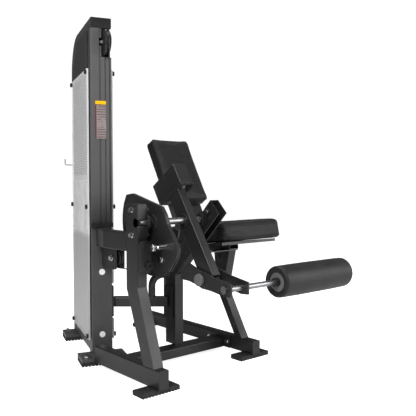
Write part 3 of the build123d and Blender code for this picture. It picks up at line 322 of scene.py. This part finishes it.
def perforated(name, sheet, hole):
    """Pale sheet with staggered round holes in its upper part, plain below, with painted shade on its
    lower part.
    """
    g = Graph(name)
    _, along, up = g.split(TOWER_TURN, TOWER_FOOT)
    masks = []
    for shift in (0.0, 0.5):
        columns = g.math("DIVIDE", along, HOLE_PITCH)
        u = g.math("SUBTRACT", g.math("FRACT", g.math("ADD", columns, shift + 40.0)), 0.5)
        rows = g.math("DIVIDE", up, HOLE_PITCH * HOLE_ROW_RATIO)
        v = g.math("SUBTRACT", g.math("FRACT", g.math("ADD", rows, shift + 40.0)), 0.5)
        far = g.math("ADD", g.math("POWER", g.math("ABSOLUTE", u), 2.0),
                     g.math("MULTIPLY", g.math("POWER", g.math("ABSOLUTE", v), 2.0), 3.0))
        masks.append(g.ramp(far, 0.062, 0.088, 1.0, 0.0))
    mask = g.math("MAXIMUM", masks[0], masks[1], clamp=True)
    for value, (low, high) in ((along, HOLES_ALONG), (up, HOLES_UP)):
        mask = g.math("MULTIPLY", mask, g.ramp(value, low, low + HOLES_FADE))
        mask = g.math("MULTIPLY", mask, g.ramp(value, high - HOLES_FADE, high, 1.0, 0.0), clamp=True)
    cloud = g.noise(6.0, 4.0)
    tone = g.mix(g.ramp(cloud, 0.3, 0.7), shade(sheet, 0.93), shade(sheet, 1.05))
    # painted shade: the sheet is darkened below about 0.6 m up the tower
    tone = g.mix(g.ramp(up, 0.58, 0.61, 0.45, 0.0), tone, shade(sheet, 0.2))
    tone = g.mix(mask, tone, hole)
    grain = g.bump(g.noise(500.0, 2.0), 0.12, 0.0005)
    dips = g.bump(g.math("SUBTRACT", 1.0, mask), 0.6, 0.0012, grain)
    return g.set(Base_Color=tone, Roughness=g.ramp(cloud, 0.3, 0.7, 0.36, 0.46), Normal=dips)


def plate_print(name):
    """Coloured plates on the guard: an amber one above, a pale one with plain bars below."""
    g = Graph(name)
    across, _, up = g.split(TOWER_TURN, TOWER_FOOT)
    amber = g.ramp(up, 1.203, 1.205)
    bars = g.math("FRACT", g.math("MULTIPLY", up, 86.0))
    bars = g.math("MULTIPLY", g.ramp(bars, 0.45, 0.55), g.ramp(across, -0.0215, -0.0205), clamp=True)
    bars = g.math("MULTIPLY", bars, g.ramp(g.noise(14.0), 0.42, 0.5), clamp=True)
    pale = g.mix(g.math("MULTIPLY", bars, 0.65), (0.30, 0.25, 0.245), (0.09, 0.055, 0.055))
    pale = g.mix(g.ramp(across, -0.0235, -0.0225, 1.0, 0.0), pale, (0.16, 0.03, 0.035))
    tone = g.mix(amber, pale, (0.95, 0.52, 0.01))
    g.set(Base_Color=tone, Roughness=g.ramp(g.noise(40.0), 0.3, 0.7, 0.4, 0.5))
    return g.set(Specular_IOR_Level=0.2)


def guard(name, low, high):
    """Ribbed guard, mid grey above and darker towards its lower end."""
    g = Graph(name)
    up = g.split(TOWER_TURN, TOWER_FOOT)[2]
    tone = g.mix(g.ramp(up, 0.62, 0.80), low, high)
    cloud = g.noise(8.0, 4.0)
    tone = g.mix(g.math("MULTIPLY", g.ramp(cloud, 0.35, 0.7), 0.2), tone, shade(high, 1.3))
    scratches = g.bump(g.noise(350.0, 3.0), 0.14, 0.0005)
    g.set(Base_Color=tone, Roughness=g.ramp(cloud, 0.3, 0.7, 0.42, 0.5), Normal=scratches)
    return g.set(Specular_IOR_Level=0.25)


FINISH = {
    "frame_paint": painted("frame_paint", (0.015, 0.015, 0.016), 0.38, 0.3, 0.08),
    "tower_paint": painted("tower_paint", (0.060, 0.060, 0.061), 0.40, 0.2, 0.08),
    "black_plastic": plastic("black_plastic", (0.012, 0.012, 0.0125), 0.42),
    "rubber": rubber("rubber", (0.013, 0.013, 0.013)),
    "vinyl": leather("vinyl", (0.010, 0.010, 0.0105)),
    "foam": foam_skin("foam", (0.013, 0.013, 0.0135)),
    "bright_steel": metal("bright_steel", (0.86, 0.86, 0.87), 0.16, 0.1),
    "steel": metal("steel", (0.36, 0.36, 0.37), 0.34, 0.5),
    "grey_plastic": plastic("grey_plastic", (0.15, 0.15, 0.155), 0.40),
    "white_plastic": plastic("white_plastic", (0.88, 0.88, 0.88), 0.35),
    "perforated_sheet": perforated("perforated_sheet", (0.84, 0.84, 0.85), (0.20, 0.20, 0.21)),
    "dark_sheet": painted("dark_sheet", (0.040, 0.040, 0.042), 0.45, 0.1, 0.05),
    "guard_plastic": guard("guard_plastic", low=(0.004, 0.004, 0.004), high=(0.105, 0.105, 0.106)),
    "label": plate_print("label"),
    "weight_paint": casting("weight_paint", (0.008, 0.008, 0.0083)),
    "cable_jacket": plastic("cable_jacket", (0.012, 0.012, 0.012), 0.35, 1400.0),
}

for row in frame["record"]["subparts"]:
    mesh = frame["nodes"][row["node"]].data
    mesh.materials.clear()
    mesh.materials.append(FINISH[row["material_slot"]])


# ------------------------------------------------------------------ mesh helpers

def add_object(name, mesh, slot, body):
    """A new piece with its finish, riding on a body."""
    piece = bpy.data.objects.new(name, mesh)
    bpy.context.collection.objects.link(piece)
    mesh.materials.clear()
    mesh.materials.append(FINISH[slot])
    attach(piece, body)
    return piece


def to_mesh(name, bm, smooth=True):
    """The finished mesh of bm, its normals outward."""
    bmesh.ops.recalc_face_normals(bm, faces=bm.faces)
    for face in bm.faces:
        face.smooth = smooth
    mesh = bpy.data.meshes.new(name)
    bm.to_mesh(mesh)
    bm.free()
    return mesh


def ring_strip(bm, rings, closed):
    """Quads between successive rings of vertices."""
    count = len(rings[0])
    pairs = list(zip(rings, rings[1:]))
    if closed:
        pairs.append((rings[-1], rings[0]))
    for a, b in pairs:
        for i in range(count):
            j = (i + 1) % count
            bm.faces.new((a[i], a[j], b[j], b[i]))


def tube(bm, points, radius, closed=False, sides=8):
    """Round tube along points, with domed ends where it is open."""
    points = [Vector(p) for p in points]
    count = len(points)
    rings = []
    side = None
    for i, point in enumerate(points):
        before = points[i - 1] if closed or i > 0 else point
        after = points[(i + 1) % count] if closed or i < count - 1 else point
        along = (after - before).normalized()
        side = along.orthogonal() if side is None else side - along * side.dot(along)
        side.normalize()
        other = along.cross(side)
        rings.append([bm.verts.new(point + (side * math.cos(a) + other * math.sin(a)) * radius)
                      for a in (2 * math.pi * k / sides for k in range(sides))])
    ring_strip(bm, rings, closed)
    if not closed:
        for ring, point, step in ((rings[0], points[0], points[0] - points[1]),
                                  (rings[-1], points[-1], points[-1] - points[-2])):
            tip = bm.verts.new(point + step.normalized() * radius * 0.6)
            for i in range(sides):
                bm.faces.new((ring[i], ring[(i + 1) % sides], tip))


def lathe(bm, profile, origin, axis, sides=64):
    """Closed body of revolution: profile holds (along, radius) pairs round a closed section."""
    axis = Vector(axis).normalized()
    side = axis.orthogonal().normalized()
    other = axis.cross(side)
    rings = []
    for along, radius in profile:
        centre = Vector(origin) + axis * along
        rings.append([bm.verts.new(centre + (side * math.cos(a) + other * math.sin(a)) * radius)
                      for a in (2 * math.pi * k / sides for k in range(sides))])
    ring_strip(bm, rings, True)


def outline(half_x, half_y, corner, step=0.01):
    """Rounded rectangle as evenly spaced (x, y) points."""
    points = []
    for cx, cy, start in ((1, 1, 0), (-1, 1, 90), (-1, -1, 180), (1, -1, 270)):
        for k in range(9):
            a = math.radians(start + 90 * k / 8)
            points.append(Vector((cx * (half_x - corner) + corner * math.cos(a),
                                  cy * (half_y - corner) + corner * math.sin(a))))
    lengths = [(points[i] - points[i - 1]).length for i in range(len(points))]
    total = sum(lengths)
    count = round(total / step)
    spaced = []
    walked, index = 0.0, 0
    for n in range(count):
        goal = total * n / count
        while walked + lengths[(index + 1) % len(points)] < goal:
            walked += lengths[(index + 1) % len(points)]
            index += 1
        a, b = points[index % len(points)], points[(index + 1) % len(points)]
        spaced.append(a.lerp(b, (goal - walked) / max((b - a).length, 1e-9)))
    return spaced


def rounded_plate(bm, half_x, half_y, corner, low, high, soften, place):
    """Flat plate with a softened rim, in its own axes, moved by place."""
    rings = []
    for inset, z in ((soften, low), (0.0, low + soften), (0.0, high - soften), (soften, high)):
        rings.append([bm.verts.new(place @ Vector((p.x, p.y, z)))
                      for p in outline(half_x - inset, half_y - inset, corner - inset * 0.5, 0.004)])
    count = min(len(r) for r in rings)
    rings = [r[:count] for r in rings]
    ring_strip(bm, rings, False)
    bm.faces.new(rings[0])
    bm.faces.new(rings[-1])


# ------------------------------------------------------------------ upholstery

def slab(half, corner, rim, crown, pinch):
    """Crowned slab in its own axes, its sides drawn in between the corners."""
    bm = bmesh.new()
    bmesh.ops.create_cube(bm, size=2.0)
    bmesh.ops.subdivide_edges(bm, edges=bm.edges, cuts=27, use_grid_fill=True)
    for vertex in bm.verts:
        # more points near the rim than in the middle
        a, b = (math.sin(share * math.pi / 2) for share in vertex.co.xy)
        c = vertex.co.z
        p = Vector((a * half.x, b * half.y, 0))
        inner = Vector((max(-half.x + corner, min(half.x - corner, p.x)),
                        max(-half.y + corner, min(half.y - corner, p.y)), 0))
        d = p - inner
        if d.length > 1e-9:
            p = inner + d.normalized() * max(abs(d.x), abs(d.y))
        p.z = c * half.z
        core = Vector((max(-half.x + rim, min(half.x - rim, p.x)),
                       max(-half.y + rim, min(half.y - rim, p.y)),
                       max(-half.z + rim, min(half.z - rim, p.z))))
        d = p - core
        if d.length > 1e-9:
            p = core + d.normalized() * min(d.length, rim)
        mid_x = 1 - (p.x / half.x) ** 2
        mid_y = 1 - (p.y / half.y) ** 2
        p.z += crown * max(0.0, mid_x) ** 0.5 * max(0.0, mid_y) ** 0.5 * max(0.0, c)
        p.x *= 1 - pinch * max(0.0, mid_y) / half.x
        p.y *= 1 - pinch * max(0.0, mid_x) / half.y
        vertex.co = p
    return bm


def evaluated(piece):
    """The mesh of a piece with its modifiers applied."""
    bpy.context.view_layer.update()
    graph = bpy.context.evaluated_depsgraph_get()
    return bpy.data.meshes.new_from_object(piece.evaluated_get(graph), depsgraph=graph)


def bake_modifiers(piece):
    """Applies the piece's modifiers to its mesh."""
    made = evaluated(piece)
    piece.modifiers.clear()
    piece.data = made


def coordinates(mesh):
    """The places of the mesh's vertices, one row each."""
    flat = np.zeros(len(mesh.vertices) * 3)
    mesh.vertices.foreach_get("co", flat)
    return flat.reshape(-1, 3)


def inflate(piece, floor_z, cap):
    """Cloth pressure swells the shell, flat where it rests, and no point moves past the cap."""
    voxels = piece.modifiers.new("voxels", "REMESH")
    voxels.mode = "VOXEL"
    voxels.voxel_size = VOXEL
    bake_modifiers(piece)
    rest = coordinates(piece.data)
    resting = piece.vertex_groups.new(name="resting")
    resting.add([int(i) for i in np.nonzero(rest[:, 2] < floor_z + 0.002)[0]], 1.0, "REPLACE")
    cloth = piece.modifiers.new("cloth", "CLOTH")
    settings = cloth.settings
    settings.quality = CLOTH_QUALITY
    settings.mass = 0.3
    settings.use_pressure = True
    settings.uniform_pressure_force = PRESSURE
    settings.tension_stiffness = 18
    settings.compression_stiffness = 18
    settings.shear_stiffness = 8
    settings.bending_stiffness = 1.2
    settings.vertex_group_mass = "resting"
    settings.effector_weights.gravity = 0
    cloth.point_cache.frame_start = 1
    cloth.point_cache.frame_end = SIM_FRAMES
    scene = bpy.context.scene
    for number in range(1, SIM_FRAMES + 1):
        scene.frame_set(number)
    swollen = coordinates(evaluated(piece))
    piece.modifiers.clear()
    piece.vertex_groups.clear()
    move = swollen - rest
    length = np.maximum(np.linalg.norm(move, axis=1), 1e-9)
    moved = rest + move * np.minimum(1.0, cap / length)[:, None]
    moved[:, 2] = np.maximum(moved[:, 2], floor_z)
    piece.data.vertices.foreach_set("co", moved.ravel())
    piece.data.update()
    scene.frame_set(1)


def soften(piece, seed):
    """One subdivision, then shallow uneven sag as on used upholstery."""
    finer = piece.modifiers.new("finer", "SUBSURF")
    finer.levels = 1
    finer.render_levels = 1
    bake_modifiers(piece)
    shift = Vector((seed * 3.1, seed * 1.7, seed * 0.9))
    for vertex in piece.data.vertices:
        broad = noise.noise(vertex.co * 9.0 + shift)
        fine = noise.noise(vertex.co * 27.0 + shift)
        vertex.co += vertex.normal * (broad * 0.6 + fine * 0.4) * SAG_DEPTH
    for polygon in piece.data.polygons:
        polygon.use_smooth = True


def seams(name, shell, half, corner, levels, place, body):
    """Piping and a stitch row round the cushion at each level, laid on its surface."""
    bm_shell = bmesh.new()
    bm_shell.from_mesh(shell.data)
    tree = BVHTree.FromBMesh(bm_shell)
    piping, stitches = bmesh.new(), bmesh.new()
    for level, inward in levels:
        line = []
        for p in outline(half.x + 0.02, half.y + 0.02, corner + 0.02, 0.006):
            start = Vector((p.x, p.y, level))
            hit, normal, _, _ = tree.ray_cast(start, (Vector((0, 0, level)) - start).normalized())
            if hit is None:
                hit, normal, _, _ = tree.find_nearest(start)
            line.append((hit, normal))
        tube(piping, [place @ (h + n * PIPING_R * 0.35) for h, n in line], PIPING_R, closed=True)
        count = len(line)
        for i in range(0, count, 2):
            ends = []
            for h, n in (line[i], line[(i + 1) % count]):
                inner = Vector((h.x, h.y, h.z + inward * STITCH_INSET))
                spot, up, _, _ = tree.find_nearest(inner)
                ends.append(place @ (spot + up * 0.0002))
            gap = ends[1] - ends[0]
            thread = [ends[0] + gap * 0.12, ends[0].lerp(ends[1], 0.5), ends[1] - gap * 0.12]
            tube(stitches, thread, STITCH_R, sides=5)
    bm_shell.free()
    add_object(name + "_piping", to_mesh(name + "_piping", piping), "vinyl", body)
    add_object(name + "_stitches", to_mesh(name + "_stitches", stitches), "black_plastic", body)


def cushion(name, node, half, corner, rim, crown, cap, tilt, levels, body, seed):
    """A stuffed pad in the place of its CAD solid, tilted about X."""
    low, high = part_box(node)
    place = Matrix.Translation((low + high) / 2) @ Matrix.Rotation(tilt, 4, "X")
    inner = half - Vector((FABRIC_GAP, FABRIC_GAP, FABRIC_GAP * 0.5))
    bm = slab(inner, corner, rim, crown, 0.003)
    piece = bpy.data.objects.new(name, to_mesh(name, bm))
    bpy.context.collection.objects.link(piece)
    inflate(piece, -half.z + FABRIC_GAP * 0.5, cap)
    soften(piece, seed)
    piece.data.materials.clear()
    piece.data.materials.append(FINISH["vinyl"])
    seams(name, piece, half, corner, levels, place, body)
    piece.data.transform(place)
    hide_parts(node)
    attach(piece, body)


cushion("seat_cushion", "seat_pad", half=Vector((0.213, 0.235, 0.048)), corner=0.040, rim=0.020,
        crown=0.004, cap=0.007, tilt=-SEAT_TILT, levels=((0.026, 1), (-0.030, -1)), body="frame",
        seed=1)
cushion("back_cushion", "back_pad", half=Vector((0.137, 0.2025, 0.033)), corner=0.030, rim=0.011,
        crown=0.003, cap=0.006, tilt=math.pi / 2 - BACK_LEAN, levels=((0.021, 1), (-0.022, -1)),
        body="back_body", seed=2)


def roller():
    """Foam shin roller: crowned sleeve with rounded rims and recessed end faces."""
    low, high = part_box("roller_pad")
    middle = (low + high) / 2
    half = (high.x - low.x) / 2 - 0.001
    full = (high.z - low.z) / 2
    recess = -half + ROLLER_RECESS
    end = [(recess, 0.0262), (recess, 0.0430), (-half + 0.003, 0.0436), (-half, 0.0465)]
    shoulder = full - ROLLER_RIM - ROLLER_CROWN
    for k in range(9):
        a = math.radians(90 * k / 8)
        end.append((-half + ROLLER_RIM - ROLLER_RIM * math.cos(a), shoulder + ROLLER_RIM * math.sin(a)))
    section = list(end)
    for k in range(1, ROLLER_LAYERS):
        x = -half + ROLLER_RIM + 2 * (half - ROLLER_RIM) * k / ROLLER_LAYERS
        section.append((x, full - ROLLER_CROWN + ROLLER_CROWN * (1 - (x / half) ** 2)))
    section += [(-x, r) for x, r in reversed(end)]
    bm = bmesh.new()
    lathe(bm, section, middle, (1, 0, 0), 96)
    for vertex in bm.verts:
        out = Vector((0, vertex.co.y - middle.y, vertex.co.z - middle.z))
        if out.length > full - 0.02:
            wave = noise.noise(vertex.co * 14.0) * 0.0006 + noise.noise(vertex.co * 45.0) * 0.00025
            vertex.co += out.normalized() * (wave - 0.0006)
    piece = add_object("roller_sleeve", to_mesh("roller_sleeve", bm), "foam", "roller_body")
    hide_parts("roller_pad")


roller()


# ------------------------------------------------------------------ small fittings

def tower_place(x, y, z):
    """A place given in the tower's own axes."""
    return TOWER_FOOT + Matrix.Rotation(TOWER_TURN, 3, "Z") @ Vector((x, y, z))


def placard():
    """Blank placard on the side panel, held by four small rivets."""
    half = Vector(PLACARD_HALF)
    centre = tower_place(PLACARD_FACE, *PLACARD_CENTRE)
    # its own x runs along the panel, its y up, its z out of the panel
    upright = Matrix(((0, 0, -1, 0), (-1, 0, 0, 0), (0, 1, 0, 0), (0, 0, 0, 1)))
    place = Matrix.Translation(centre) @ Matrix.Rotation(TOWER_TURN, 4, "Z") @ upright
    bm = bmesh.new()
    rounded_plate(bm, half.x, half.y, corner=0.008, low=0.0001, high=0.0016, soften=0.0004, place=place)
    add_object("placard", to_mesh("placard", bm, False), "white_plastic", "frame")
    bm = bmesh.new()
    for sx in (-1, 1):
        for sy in (-1, 1):
            at = place @ Vector((sx * (half.x - RIVET_INSET), sy * (half.y - RIVET_INSET), 0.0012))
            out = (place.to_3x3() @ Vector((0, 0, 1))).normalized()
            lathe(bm, [(0.0, 0.0004), (0.0, 0.0042), (0.0008, 0.0040), (0.0016, 0.0028), (0.0020, 0.0004)],
                  at, out, 20)
    add_object("placard_rivets", to_mesh("placard_rivets", bm), "bright_steel", "frame")


placard()


# ------------------------------------------------------------------ stage

def stage():
    """Round pale floor, which glows white to the camera only."""
    bm = bmesh.new()
    sides = 64
    centre = bm.verts.new((0, 0, 0))
    turns = [2 * math.pi * k / sides for k in range(sides)]
    edge = [bm.verts.new((FLOOR_RADIUS * math.cos(a), FLOOR_RADIUS * math.sin(a), 0)) for a in turns]
    for k in range(sides):
        bm.faces.new((centre, edge[k], edge[(k + 1) % sides]))
    mesh = to_mesh("floor", bm, False)
    g = Graph("studio_floor")
    tone = g.mix(g.ramp(g.noise(2.0), 0.3, 0.7), (0.90, 0.90, 0.90), (0.93, 0.93, 0.93))
    g.set(Base_Color=tone, Roughness=0.9)
    seen = g.tree.nodes.new("ShaderNodeLightPath").outputs["Is Camera Ray"]
    glow = g.math("MULTIPLY", seen, FLOOR_GLOW)
    mesh.materials.append(g.set(Emission_Color=(1, 1, 1, 1), Emission_Strength=glow))
    floor = bpy.data.objects.new("floor", mesh)
    bpy.context.collection.objects.link(floor)


def area_light(name, at, look_at, size, power):
    """Rectangular lamp at a place, facing look_at."""
    light = bpy.data.lights.new(name, "AREA")
    light.shape = "RECTANGLE"
    light.size, light.size_y = size
    light.energy = power
    lamp = bpy.data.objects.new(name, light)
    bpy.context.collection.objects.link(lamp)
    lamp.location = at
    lamp.rotation_euler = (Vector(look_at) - Vector(at)).to_track_quat("-Z", "Y").to_euler()


def world():
    """White to the camera, a dimmer white for the light that falls on the object."""
    scene = bpy.context.scene
    scene.world = bpy.data.worlds.new("studio")
    scene.world.use_nodes = True
    tree = scene.world.node_tree
    tree.nodes.clear()
    out = tree.nodes.new("ShaderNodeOutputWorld")
    mix = tree.nodes.new("ShaderNodeMixShader")
    path = tree.nodes.new("ShaderNodeLightPath")
    dim, white = tree.nodes.new("ShaderNodeBackground"), tree.nodes.new("ShaderNodeBackground")
    dim.inputs["Color"].default_value = (1, 1, 1, 1)
    dim.inputs["Strength"].default_value = FILL_LIGHT
    white.inputs["Color"].default_value = (1, 1, 1, 1)
    white.inputs["Strength"].default_value = BACKDROP_WHITE
    tree.links.new(path.outputs["Is Camera Ray"], mix.inputs[0])
    tree.links.new(dim.outputs[0], mix.inputs[1])
    tree.links.new(white.outputs[0], mix.inputs[2])
    tree.links.new(mix.outputs[0], out.inputs[0])


def camera():
    """The scene's camera, level but for a small pitch."""
    data = bpy.data.cameras.new("camera")
    data.lens = CAMERA_LENS
    data.sensor_width = 36.0
    data.clip_end = 60.0
    view = bpy.data.objects.new("camera", data)
    bpy.context.collection.objects.link(view)
    forward = Vector((math.sin(CAMERA_AZIMUTH) * math.cos(CAMERA_PITCH),
                      math.cos(CAMERA_AZIMUTH) * math.cos(CAMERA_PITCH), -math.sin(CAMERA_PITCH)))
    view.location = CAMERA_AT
    view.rotation_euler = forward.to_track_quat("-Z", "Y").to_euler()
    bpy.context.scene.camera = view


stage()
world()
camera()
for light in LIGHTS:
    area_light(*light)
bpy.context.scene.view_settings.view_transform = "Standard"
